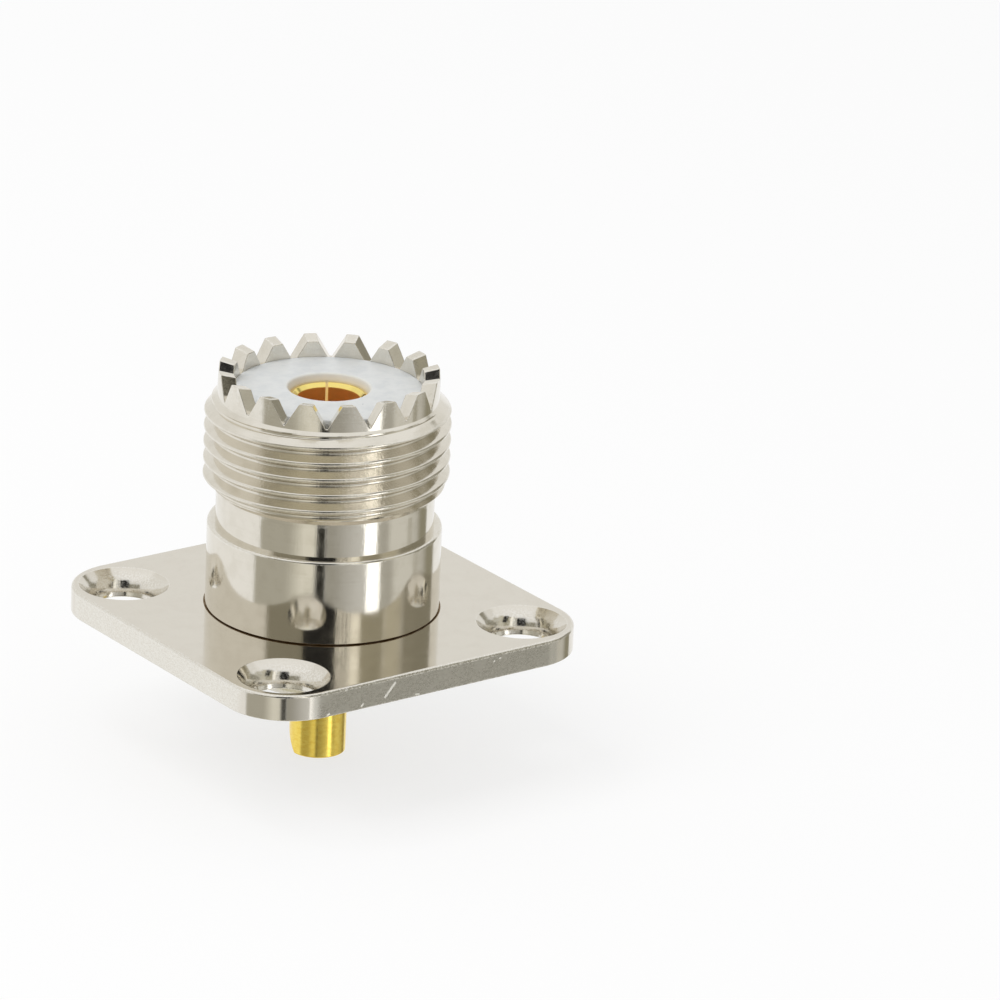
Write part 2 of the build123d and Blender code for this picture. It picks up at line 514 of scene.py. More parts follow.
def goldMaterial():
    look = goldFinish
    material, tree, shader = startMaterial("goldPlate")
    place, axes, angle, radius = objectPlace(tree)
    mottle = grain(tree, place, *look["mottleGrain"])
    speckle = grain(tree, place, *look["speckleGrain"])
    lathe = streaks(tree, (angle, radius, axes[2]), *look["latheStreaks"])
    roughness = ramp(tree, mottle, *look["mottleRoughness"])
    roughness = plus(tree, roughness, ramp(tree, axes[2], *look["cupRoughness"]))
    deep = ramp(tree, lathe, *look["latheSpread"])
    colour = blendColours(tree, deep, look["colour"], look["deepColour"])
    colour = blendColours(tree, ramp(tree, axes[2], *look["rimPlace"]), colour, look["rimColour"])
    # The socket's bore is drilled, so it is dull, and its colour is painted a deeper orange as painted
    # shade of the deep hole
    inBore = times(tree, ramp(tree, radius, *look["boreRadius"]),
                   bandMask(tree, axes[2], *look["boreHeightBand"]))
    colour = blendColours(tree, inBore, colour, look["boreShadeColour"])
    roughness = plus(tree, roughness, times(tree, inBore, look["boreRoughness"]))
    layers = [(mottle, look["mottleDepth"]), (lathe, look["latheDepth"]), (speckle, look["speckleDepth"])]
    setInputs(tree, shader, {
        "Metallic": 1.0,
        "Base Color": colour,
        "Roughness": roughness,
        "Normal": heightToBump(tree, layers),
    })
    return material


insulationFinish = {
    "colour": (0.67, 0.682, 0.675),
    "cloudColour": (0.61, 0.628, 0.63),
    "cloudGrain": (0.8, 4, 0.6),
    "cloudSpread": (0.4, 0.7),
    "cloudRoughness": (0.3, 0.7, 0.36, 0.5),
    "cloudDepth": 6.0,
    "latheStreaks": ((1.5, 6.0, 6.0), 2),
    "latheDepth": 1.2,
    "speckColour": (0.3, 0.31, 0.34),
    "speckGrain": (3.4, 1),
    "speckSpread": (0.79, 0.82),
    "paintedGoldLight": (0.78, 0.60, 0.24),  # painted light: the warm glow of light from the gold, put into the white's colour and its slot glow
    "goldLightRadius": (2.45, 2.85, 0.8, 0.0),
    "goldLightMouth": (15.0, 16.5, 1.0, 0.25),
    "goldLightRear": (-2.0, 6.0, 0.15, 1.0),
    "slotRadius": (2.47, 2.5, 1.0, 0.0),
    "slotTop": (15.6, 15.9, 1.0, 0.0),
    "slotFoot": (8.0, 12.0),
    "paintedSlotGlow": 0.55,
    "glow": 0.25,  # share of light that passes under the surface
    "glowReach": (1.0, 0.95, 0.9),
    "glowScale": 0.0008,  # metres
}


def insulationMaterial():
    look = insulationFinish
    material, tree, shader = startMaterial("whiteInsulation")
    place, axes, angle, radius = objectPlace(tree)
    clouds = grain(tree, place, *look["cloudGrain"])
    lathe = streaks(tree, (angle, radius, axes[2]), *look["latheStreaks"])
    specks = ramp(tree, grain(tree, place, *look["speckGrain"]), *look["speckSpread"])
    cloudy = ramp(tree, clouds, *look["cloudSpread"])
    colour = blendColours(tree, cloudy, look["colour"], look["cloudColour"])
    colour = blendColours(tree, specks, colour, look["speckColour"])
    # Painted light: the white is tinted warm near the gold, as if lit by light bounced off the gold
    paintedGoldBounce = times(tree, ramp(tree, radius, *look["goldLightRadius"]), ramp(tree, axes[2], *look["goldLightMouth"]))
    paintedGoldBounce = times(tree, paintedGoldBounce, ramp(tree, axes[2], *look["goldLightRear"]))
    colour = blendColours(tree, paintedGoldBounce, colour, look["paintedGoldLight"])
    # Painted light: the white glows by emission in the socket's slots, standing in for light that comes
    # through the white to the gold
    inSlot = times(tree, ramp(tree, radius, *look["slotRadius"]), ramp(tree, axes[2], *look["slotTop"]))
    inSlot = times(tree, inSlot, ramp(tree, axes[2], *look["slotFoot"]))
    setInputs(tree, shader, {
        "Base Color": colour,
        "Roughness": ramp(tree, clouds, *look["cloudRoughness"]),
        # painted glow: emission in the warm colour, inside the slots only
        "Emission Color": opaque(look["paintedGoldLight"]),
        "Emission Strength": times(tree, inSlot, look["paintedSlotGlow"]),
        "Subsurface Weight": look["glow"],
        "Subsurface Radius": look["glowReach"],
        "Subsurface Scale": look["glowScale"],
        "Normal": heightToBump(tree, [(clouds, look["cloudDepth"]), (lathe, look["latheDepth"])]),
    })
    return material


# Barrel

barrel = {
    "neckRadius": 6.97,
    "neckFoot": 7.3,
    "collarRounding": 0.2,
    "collarFoot": 0.1,
    "bossRadius": 5.9,
    "bossTaper": -0.7,
    "bossEnd": -2.75,
    "lipOpening": 4.75,
    "lipRounding": 0.8,
    "lipEdge": 0.1,
    "lipFold": 0.12,
    "taperRounding": 0.12,
    "seatRounding": 0.03,
}

thread = {
    "pitch": 1.0583,
    "depth": 0.62,
    "crestWidth": 0.18,
    "flankAngle": 30.0,
    "crestRounding": 0.14,
    "rootRounding": 0.09,
    "flankRows": 3,
    "majorRadius": 7.85,
    "bottom": 9.6,
    "taperEnd": 10.4,
    "shoulderEdge": 15.1,
    "top": 15.8,
    "crestHeight": 14.97,  # of one crest on the camera's side
    "turns": (-9, 4),  # from that crest, and cut off at the thread's two ends
    "wornDepth": 0.06,
    "wornShare": 0.6,
}

crown = {
    "teeth": 16,
    "firstTooth": 20.65,
    "outerRadius": 7.05,
    "dish": 0.24,  # fall of the tooth tops from outside to inside
    "notchRoot": 15.9,
    "notchAngle": 62.0,
    "rootRounding": 0.1,
    "tipRounding": 0.13,
    "edgeBreak": 0.06,
    "boreStart": 15.7,  # below the notch roots
    "boreEnd": 14.7,
    "tipColumns": 4,
    "flankColumns": 3,
    "rootShares": (0.0, 0.4, 0.8),  # places of the columns in the rounding of a notch's root
    "tipSteps": 3,
}


def toothTop(radius):
    share = (crown["outerRadius"] - radius) / (crown["outerRadius"] - shared["boreRadius"])
    return shared["crownTop"] - crown["dish"] * share


def notchColumns(depth):
    # Right half of a notch as (offset, height above its root, normal aside, normal up, edge)
    half = math.radians(crown["notchAngle"] / 2)
    aside, up = math.cos(half), math.sin(half)
    root, tip = crown["rootRounding"], crown["tipRounding"]
    rise = root / up
    corner = depth * math.tan(half)
    reach = tip * math.tan((math.pi / 2 - half) / 2)
    columns = []
    for share in crown["rootShares"]:
        lean = share * aside
        upright = math.sqrt(1 - lean**2)
        columns.append((root * lean, rise - root * upright, -lean, upright, 0.0))
    start, end = root * aside, corner - reach * up
    for step in range(crown["flankColumns"] + 1):
        offset = start + (end - start) * step / crown["flankColumns"]
        columns.append((offset, offset / math.tan(half), -aside, up, 0.0))
    for step in range(1, crown["tipSteps"] + 1):
        angle = half + (math.pi / 2 - half) * step / crown["tipSteps"]
        columns.append((
            corner - reach * up + tip * (aside - math.cos(angle)),
            depth - reach * aside + tip * (math.sin(angle) - up),
            -math.cos(angle), math.sin(angle), 1.0,
        ))
    return columns, corner + reach


def crownColumns(radius):
    # Columns round the ring at one radius: world angle, height, normal aside and up, the
    # angle that "aside" is square to, and edge
    top = toothTop(radius)
    notch, half = notchColumns(top - crown["notchRoot"])
    pitchAngle = 360 / crown["teeth"]
    halfAngle = math.degrees(math.asin(half / radius))
    columns = []
    for index in range(crown["teeth"]):
        middle = crown["firstTooth"] + (index + 0.5) * pitchAngle
        for side, items in ((-1, reversed(notch[1:])), (1, notch)):
            for offset, height, aside, up, edge in items:
                angle = middle + side * math.degrees(math.asin(offset / radius))
                columns.append((angle, crown["notchRoot"] + height, side * aside, up, middle, edge))
        count = crown["tipColumns"]
        for step in range(1, count + 1):
            angle = middle + halfAngle + (pitchAngle - 2 * halfAngle) * step / (count + 1)
            columns.append((angle, top, 0.0, 1.0, angle, 0.0))
    return np.array(columns).T


def crownRow(radius, nominal, drop, tilt, edge):
    # tilt is 1 on the outer wall, -1 in the bore and 0 on the notches and tops
    angles, heights, aside, up, middles, edges = closedRing(crownColumns(nominal))
    turn, middle = np.radians(angles), np.radians(middles)
    fall = -crown["dish"] * up**4
    own = np.stack([
        -aside * np.sin(middle) + fall * np.cos(turn),
        aside * np.cos(middle) + fall * np.sin(turn),
        up,
    ], -1)
    own = own / np.linalg.norm(own, axis=1, keepdims=True)
    normals = tilt * ringPoints(1.0, 0.0, angles) + math.sqrt(1 - tilt**2) * own
    return ringPoints(radius, heights - drop, angles), normals, np.maximum(edges, edge)[:, None]


def joinRows(rows):
    return gridCells(np.stack(items) for items in zip(*rows))


def crownCells():
    outer, inner, small = crown["outerRadius"], shared["boreRadius"], crown["edgeBreak"]

    # A wall's row takes its columns from the ring at the nominal radius
    def wallRow(radius, height, nominal, side):
        angles = closedRing(crownColumns(nominal)[0])
        points, normals = ringPoints(radius, height, angles), ringPoints(side, 0.0, angles)
        return points, normals, np.zeros((len(angles), 1))

    outerEdge = crownRow(outer, outer, small, 1.0, 0.5)
    innerEdge = crownRow(inner, inner, small, -1.0, 0.5)
    wall = [wallRow(outer, thread["top"], outer, 1.0), outerEdge]
    tops = [
        outerEdge,
        crownRow(outer - small * bevel, outer, small * bevel, diagonal, 1.0),
        crownRow(outer - small, outer - small, 0.0, 0.0, 0.5),
        crownRow((outer + inner) / 2, (outer + inner) / 2, 0.0, 0.0, 0.0),
        crownRow(inner + small, inner + small, 0.0, 0.0, 0.5),
        crownRow(inner + small * bevel, inner, small * bevel, -diagonal, 1.0),
        innerEdge,
    ]
    bore = [
        innerEdge,
        wallRow(inner, crown["boreStart"], inner, -1.0),
        wallRow(inner, crown["boreEnd"], outer, -1.0),
    ]
    return [joinRows(wall), joinRows(tops), joinRows(bore)]


def threadProfile():
    # One pitch of the thread's section, from the root below a crest to the root above it
    half = thread["crestWidth"] / 2
    flank = thread["depth"] * math.tan(math.radians(thread["flankAngle"]))
    major, root = thread["majorRadius"], thread["majorRadius"] - thread["depth"]
    low, high = -half - flank, half + flank
    corners = [
        (root, high - thread["pitch"]),
        (root, low, thread["rootRounding"]),
        (major, -half, thread["crestRounding"]),
        (major, half, thread["crestRounding"]),
        (root, high, thread["rootRounding"]),
        (root, low + thread["pitch"]),
    ]
    rows = []
    for index in range(1, 5):
        found = cornerRows(corners[index - 1], corners[index], corners[index + 1], 3, None)
        if index in (2, 4):
            start, end = rows[-1], found[0]
            for step in range(1, thread["flankRows"] + 1):
                share = step / (thread["flankRows"] + 1)
                rows.append(tuple(start[item] + (end[item] - start[item]) * share for item in range(5)))
        rows += found
    return np.array(rows)


def threadCells():
    profile = threadProfile()
    pitch = thread["pitch"]
    angles = crownColumns(crown["outerRadius"])[0]
    ring = closedRing(angles)
    helixAngles = np.append(angles, angles[0] + 360)
    rise = pitch * (helixAngles - shared["cameraSide"]) / 360
    turns = np.arange(*thread["turns"])
    base = (thread["crestHeight"] + turns[:, None] * pitch + profile[None, :, 1]).ravel()
    heights = base[:, None] + rise[None, :]
    table = np.repeat(np.tile(profile, (len(turns), 1))[:, None, :], len(ring), 1)
    count = len(base)

    # One more row along each edge of the band, and then all rows in order of height
    for height in (thread["taperEnd"], thread["shoulderEdge"]):
        columns = [
            [np.interp(height, heights[:count, column], table[:count, column, item]) for item in range(5)]
            for column in range(len(ring))
        ]
        heights = np.concatenate([heights, np.full((1, len(ring)), height)])
        table = np.concatenate([table, np.array(columns)[None]])
    order = np.argsort(heights, axis=0, kind="stable")
    heights = np.take_along_axis(heights, order, 0)
    table = np.take_along_axis(table, order[..., None], 0)
    onFixed = order >= count
    heights = np.clip(heights, thread["bottom"], thread["top"])
    marks = [thread["bottom"], thread["taperEnd"], thread["shoulderEdge"], thread["top"]]
    major = thread["majorRadius"]
    envelope = np.interp(heights, marks, [barrel["neckRadius"], major, major, crown["outerRadius"]])
    radius = np.minimum(table[..., 0], envelope)

    # Which surface each point is on: 1 lower taper, 2 thread, 3 shoulder, 0 any of them
    kind = np.where(heights < thread["taperEnd"], 1, 3)
    kind = np.where(table[..., 0] <= envelope + nearly, 2, kind)
    kind = np.where(onFixed & (table[..., 0] > major - nearly), 0, kind)
    points = ringPoints(radius, heights, ring)
    cells = cornersOf(points)
    kinds = cornersOf(kind[..., None])[..., 0]
    highest = kinds.max(1)
    lowest = np.where(kinds == 0, 9, kinds).min(1)
    lead = pitch / (2 * math.pi * major)
    turn = np.radians(ring)
    sections = {
        1: (thread["taperEnd"] - thread["bottom"], barrel["neckRadius"] - major),
        3: (thread["top"] - thread["shoulderEdge"], major - crown["outerRadius"]),
    }
    normals = flatNormals(cells)
    for code in (1, 2, 3):
        if code == 2:
            out, up = table[..., 2], table[..., 3]
            around = -up * lead
        else:
            length = math.hypot(*sections[code])
            out = np.full(heights.shape, sections[code][0] / length)
            up = np.full(heights.shape, sections[code][1] / length)
            around = np.zeros(heights.shape)
        field = np.stack([
            out * np.cos(turn) - around * np.sin(turn),
            out * np.sin(turn) + around * np.cos(turn),
            up,
        ], -1)
        same = (highest == code) & (lowest == code)
        normals[same] = cornersOf(field)[same]
    worn = np.clip(1 - (major - table[..., 0]) / thread["wornDepth"], 0, 1)
    return cells, normals, cornersOf(worn[..., None] * thread["wornShare"])


def barrelCells():
    outside = openOutline([
        (barrel["lipOpening"], barrel["bossEnd"] + barrel["lipFold"]),
        (barrel["lipOpening"], barrel["bossEnd"], barrel["lipEdge"]),
        (barrel["bossRadius"], barrel["bossEnd"], barrel["lipRounding"]),
        (barrel["bossRadius"], barrel["bossTaper"], barrel["taperRounding"]),
        (shared["spigotRadius"], 0.0, barrel["seatRounding"]),
        (shared["spigotRadius"], shared["flangeTop"]),
        (shared["collarRadius"], shared["flangeTop"], barrel["collarFoot"]),
        (shared["collarRadius"], barrel["neckFoot"], barrel["collarRounding"]),
        (barrel["neckRadius"], barrel["neckFoot"]),
        (barrel["neckRadius"], thread["bottom"]),
    ])
    inside = openOutline([
        (shared["boreRadius"], crown["boreEnd"]),
        (shared["boreRadius"], shared["seatHeight"]),
        (shared["rearBoreRadius"], shared["seatHeight"]),
        (shared["rearBoreRadius"], shared["lipInside"]),
        (barrel["lipOpening"], shared["lipInside"]),
        (barrel["lipOpening"], barrel["bossEnd"] + barrel["lipFold"]),
    ])
    angles = closedRing(crownColumns(crown["outerRadius"])[0])
    return [turnedCells(outside, angles), threadCells(), *crownCells(), turnedCells(inside, angles)]


barrelNickel = nickelMaterial("barrelNickel", "turned")
flangeNickel = nickelMaterial("flangeNickel", "flat")
goldPlate = goldMaterial()
whiteInsulation = insulationMaterial()
print("stage: finishes made")

addPiece("barrelTurned", "barrel", barrelNickel, barrelCells())


# Insulators

insulator = {
    "frontRadius": 6.0,
    "rimHeight": 16.25,
    "mouthHeight": 16.36,  # the face bulges a little towards the socket
    "rearRadius": 4.9,
    "frontHole": 2.45,
    "rearHole": 1.88,
    "mouthWidth": 0.2,
    "mouthDepth": 0.45,
    "mouthRounding": 0.2,
    "throatRounding": 0.3,
    "rimRounding": 0.03,
    "rearRounding": 0.08,
    "lipRadius": 6.045,  # the face is pressed out against the barrel
    "lipRise": 0.3,
    "columns": 160,
}

lipFoot = insulator["rimHeight"] - insulator["lipRise"]
mouthRadius = insulator["frontHole"] + insulator["mouthWidth"]
throatHeight = insulator["mouthHeight"] - insulator["mouthDepth"]
frontOutline = closedOutline([
    (shared["keeperHoleRadius"], shared["seatHeight"]),
    (insulator["frontRadius"], shared["seatHeight"]),
    (insulator["frontRadius"], lipFoot),
    (insulator["lipRadius"], lipFoot),
    (insulator["lipRadius"], insulator["rimHeight"], insulator["rimRounding"]),
    (mouthRadius, insulator["mouthHeight"], insulator["mouthRounding"]),
    (insulator["frontHole"], throatHeight, insulator["throatRounding"]),
    (insulator["frontHole"], shared["keeperTop"]),
    (shared["keeperHoleRadius"], shared["keeperTop"]),
])
rearOutline = closedOutline([
    (insulator["rearHole"], shared["lipInside"], insulator["rearRounding"]),
    (insulator["rearRadius"], shared["lipInside"]),
    (insulator["rearRadius"], shared["seatHeight"]),
    (shared["keeperHoleRadius"], shared["seatHeight"]),
    (shared["keeperHoleRadius"], shared["keeperBottom"]),
    (insulator["rearHole"], shared["keeperBottom"]),
])
insulatorRing = closedRing(np.arange(insulator["columns"]) * 360 / insulator["columns"])
addPiece("frontInsulatorTurned", "front_insulator", whiteInsulation,
         [turnedCells(frontOutline, insulatorRing)])
addPiece("rearInsulatorTurned", "rear_insulator", whiteInsulation,
         [turnedCells(rearOutline, insulatorRing)])


# Centre contact: split socket in front, solder cup behind

contact = {
    "socketRadius": 2.4,
    "socketBore": 2.0,
    "socketRim": 15.85,
    "socketDepth": 10.8,
    "leadIn": 0.25,
    "rimRounding": 0.06,
    "slots": 4,
    "firstSlot": 58.5,
    "slotHalfWidth": 0.09,
    "slotDepth": 6.5,
    "leafColumns": 32,
    "keeperRadius": 2.9,
    "keeperRounding": 0.1,
    "drillPoint": 118.0,
    "cupRadius": 1.83,
    "cupBore": 1.3,
    "cupDepth": 4.45,
    "openSide": 68.0,  # world angle that the cup's open side faces
    "openLength": 3.25,
    "slantAngle": 38.0,
    "cupEdge": 0.09,
    "aboveSlant": 0.3,  # where the cup's plain walls end
    "slantColumns": 40,  # of the 64 from the open side round to the back
}


def leafAngles(radius, index):
    # Columns of one leaf of the socket, from the slot before it to the slot after it
    span = 360 / contact["slots"]
    half = np.degrees(np.arcsin(contact["slotHalfWidth"] / np.asarray(radius, float)))
    start = contact["firstSlot"] + index * span + half
    end = contact["firstSlot"] + (index + 1) * span - half
    share = np.linspace(0, 1, contact["leafColumns"])
    return start + (end - start) * share


def socketRing(radius):
    return np.concatenate([leafAngles(radius, index) for index in range(contact["slots"])])


def drillPointHeight(radius):
    return radius / math.tan(math.radians(contact["drillPoint"] / 2))


def leafCells(rows, index):
    grids = turnedGrids(rows, leafAngles(np.array(rows)[:, 0:1], index))
    parts = [gridCells(grids)]
    span = 360 / contact["slots"]
    for column, side, slot in ((0, -1, index), (-1, 1, index + 1)):
        middle = math.radians(contact["firstSlot"] + slot * span)
        normal = (-side * math.sin(middle), side * math.cos(middle), 0.0)
        outline = grids[0][:, column]
        apart = np.linalg.norm(outline - np.roll(outline, 1, axis=0), axis=1) > nearly
        parts.append(filledCells([outline[apart]], normal))
    return parts


def socketCells():
    rim = contact["socketRim"]
    slotFloor, boreFloor = rim - contact["slotDepth"], rim - contact["socketDepth"]
    outer, inner = contact["socketRadius"], contact["socketBore"]
    below = openOutline([
        (contact["keeperRadius"], shared["keeperBottom"]),
        (contact["keeperRadius"], shared["keeperTop"], contact["keeperRounding"]),
        (outer, shared["keeperTop"]),
        (outer, slotFloor),
    ])
    leaf = openOutline([
        (outer, slotFloor),
        (outer, rim, contact["rimRounding"]),
        (inner + contact["leadIn"], rim, contact["rimRounding"]),
        (inner, rim - contact["leadIn"], contact["rimRounding"]),
        (inner, slotFloor),
    ])
    inside = openOutline([
        (inner, slotFloor),
        (inner, boreFloor),
        (0.0, boreFloor - drillPointHeight(inner)),
    ])
    parts = [
        turnedCells(below, closedRing(socketRing(outer))),
        turnedCells(inside, closedRing(socketRing(inner))),
    ]
    span = 360 / contact["slots"]
    for index in range(contact["slots"]):
        parts += leafCells(leaf, index)
        middle = contact["firstSlot"] + (index + 1) * span
        halves = [math.degrees(math.asin(contact["slotHalfWidth"] / radius)) for radius in (outer, inner)]
        floor = [
            ringPoints(radius, slotFloor, np.array([middle - half, middle + half]))
            for radius, half in zip((outer, inner), halves)
        ]
        parts.append(flatCells(np.stack(floor)))
    return parts


def slantHeight(radius, angles):
    # Height of the cup's end at a radius, where the slanted cut or the square tip ends it
    slope = math.tan(math.radians(contact["slantAngle"]))
    reach = radius * np.cos(np.radians(angles - contact["openSide"]))
    top = shared["cupTip"] + contact["openLength"]
    return np.maximum(shared["cupTip"], top + (reach - contact["cupRadius"]) / slope)


def cupRing(radius):
    # Columns round the cup, with one at each end of the square tip
    slope = math.tan(math.radians(contact["slantAngle"]))
    tipReach = contact["cupRadius"] - contact["openLength"] * slope
    tipAngle = math.degrees(math.acos(tipReach / radius))
    half = contact["slots"] * contact["leafColumns"] // 2
    slant = np.linspace(0, tipAngle, contact["slantColumns"] + 1)
    tip = np.linspace(tipAngle, 180, half - contact["slantColumns"] + 1)[1:]
    oneSide = np.concatenate([slant, tip])
    return contact["openSide"] + np.concatenate([oneSide, 360 - oneSide[-2:0:-1]])


def cupCells():
    outer, inner, edge = contact["cupRadius"], contact["cupBore"], contact["cupEdge"]
    cupFloor = shared["cupTip"] + contact["cupDepth"]
    slantTop = shared["cupTip"] + contact["openLength"] + contact["aboveSlant"]

    def row(radius, height=None, lift=0.0):
        angles = closedRing(cupRing(radius))
        if height is None:
            height = slantHeight(radius, angles) + lift
        return ringPoints(radius, height, angles)

    def wall(radius, first, last, side):
        grid = np.stack([first, last])
        normals = np.stack([ringPoints(side, 0.0, closedRing(cupRing(radius)))] * 2)
        return cornersOf(grid), cornersOf(normals), np.zeros((grid.shape[1] - 1, 4, 1))

    end = np.stack([
        row(inner, lift=edge),
        row(inner + edge * bevel, lift=edge * bevel),
        row(inner + edge),
        row((inner + outer) / 2),
        row(outer - edge),
        row(outer - edge * bevel, lift=edge * bevel),
        row(outer, lift=edge),
    ])
    floor = row(inner, cupFloor)
    drillPoint = floor * [0, 0, 1] + [0, 0, drillPointHeight(inner)]
    first = int(np.argmin(np.abs((socketRing(contact["socketRadius"]) - contact["openSide"]) % 360)))
    keeper = closedRing(np.roll(socketRing(contact["keeperRadius"]), -first))
    return [
        flatCells(np.stack([drillPoint, floor])),
        wall(inner, floor, row(inner, slantTop), -1.0),
        wall(inner, row(inner, slantTop), end[0], -1.0),
        flatCells(end, 0.5),
        wall(outer, end[-1], row(outer, slantTop), 1.0),
        wall(outer, row(outer, slantTop), row(outer, shared["keeperBottom"]), 1.0),
        flatCells(np.stack([
            row(outer, shared["keeperBottom"]),
            ringPoints(contact["keeperRadius"], shared["keeperBottom"], keeper),
        ])),
    ]


addPiece("centreContactTurned", "centre_contact", goldPlate, [*socketCells(), *cupCells()])


# Square flange

flange = {
    "side": 25.5,
    "cornerRadius": 4.2,
    "cornerColumns": 24,
    "frontEdge": 0.2,
    "rearEdge": 0.06,
    "faceMargin": 0.6,  # length of flat that the outlines start and end on
    "holePitch": 18.3,
    "holeRadius": 2.0,
    "rimRadius": 2.92,
    "rimRounding": 0.05,
    "throatHeight": 0.78,
    "throatRounding": 1.68,
    "holeRearRounding": 0.06,
    "holeColumns": 96,
    "spigotClearance": 0.02,
    "seamRounding": 0.04,
    "rearChamfer": 0.12,
}


def squareCorners(half):
    return [(half, half), (-half, half), (-half, -half), (half, -half)]


def flangeRim():
    # Outline of the plate as (x, y, normal x, normal y)
    reach = flange["side"] / 2 - flange["cornerRadius"]
    points = []
    for quarter, (x, y) in enumerate(squareCorners(reach)):
        for angle in np.linspace(quarter * 90, quarter * 90 + 90, flange["cornerColumns"] + 1):
            outX, outY = math.cos(math.radians(angle)), math.sin(math.radians(angle))
            radius = flange["cornerRadius"]
            points.append((x + radius * outX, y + radius * outY, outX, outY))
    return np.array(points + points[:1])


def flangeCells():
    top, margin = shared["flangeTop"], flange["faceMargin"]
    rim = flangeRim()
    sides = np.array(openOutline([
        (-margin, 0.0),
        (0.0, 0.0, flange["rearEdge"]),
        (0.0, top, flange["frontEdge"]),
        (-margin, top),
    ])[1:-1])
    place = rim[None, :, :2] + rim[None, :, 2:] * sides[:, None, 0:1]
    height = np.broadcast_to(sides[:, None, 1:2], (*place.shape[:2], 1))
    points = np.concatenate([place, height], -1)
    lean = np.broadcast_to(rim[None, :, 2:], place.shape) * sides[:, None, 2:3]
    normals = np.concatenate([lean, np.broadcast_to(sides[:, None, 3:4], height.shape)], -1)
    edges = np.broadcast_to(sides[:, None, 4:5], height.shape)
    parts = [gridCells((points, normals, edges))]
    tops, bottoms = [points[-1, :-1]], [points[0, :-1]]
    screwHole = openOutline([
        (flange["rimRadius"] + margin, top),
        (flange["rimRadius"], top, flange["rimRounding"]),
        (flange["holeRadius"], flange["throatHeight"], flange["throatRounding"]),
        (flange["holeRadius"], 0.0, flange["holeRearRounding"]),
        (flange["holeRadius"] + margin, 0.0),
    ])[1:-1]
    spigot = shared["spigotRadius"] + flange["spigotClearance"]
    spigotHole = openOutline([
        (spigot + margin, top),
        (spigot, top, flange["seamRounding"]),
        (spigot, flange["rearChamfer"]),
        (spigot + flange["rearChamfer"], 0.0),
        (spigot + margin, 0.0),
    ])[1:-1]
    ring = closedRing(np.arange(flange["holeColumns"]) * 360 / flange["holeColumns"])
    holes = [(screwHole, centre) for centre in squareCorners(flange["holePitch"] / 2)]
    for rows, centre in [*holes, (spigotHole, (0, 0))]:
        parts.append(turnedCells(rows, ring, centre))
        for loops, row in ((tops, rows[0]), (bottoms, rows[-1])):
            loops.append(ringPoints(row[0], row[1], ring[:-1]) + np.array([*centre, 0.0]))
    return parts + [filledCells(tops, (0, 0, 1)), filledCells(bottoms, (0, 0, -1))]


addPiece("flangeMilled", "mounting_flange", flangeNickel, flangeCells())


# Floor, light and camera

studio = {
    "floorSize": 3.0,
    "floorGap": 0.02,
    "floorPaper": (0.9, 0.9, 0.9),
    "floorWhite": 0.7,  # share of plain white in the floor, the rest takes shadow
    "skyLevel": 0.8,
    "keyPower": 1.1,
    "keySize": 0.35,
    "keyDistance": 0.55,
    "keyAzimuth": -60.0,  # from the camera's side, positive to the right
    "keyElevation": 58.0,
    "ceiling": (0.96, 0.96, 0.955),  # behind all the cards
    "cardFade": 5.0,  # degrees, at a card's lower and upper edge
    "warmGreen": 0.2,  # share of a card's warmth that its green loses, as its blue loses all of it
    "jag": 2.4,  # degrees that the cards' upright edges wander
    "jagStreaks": ((0.12, 1.5), 3, 0.7),
    "slatSpread": (-0.3, 0.5),
}

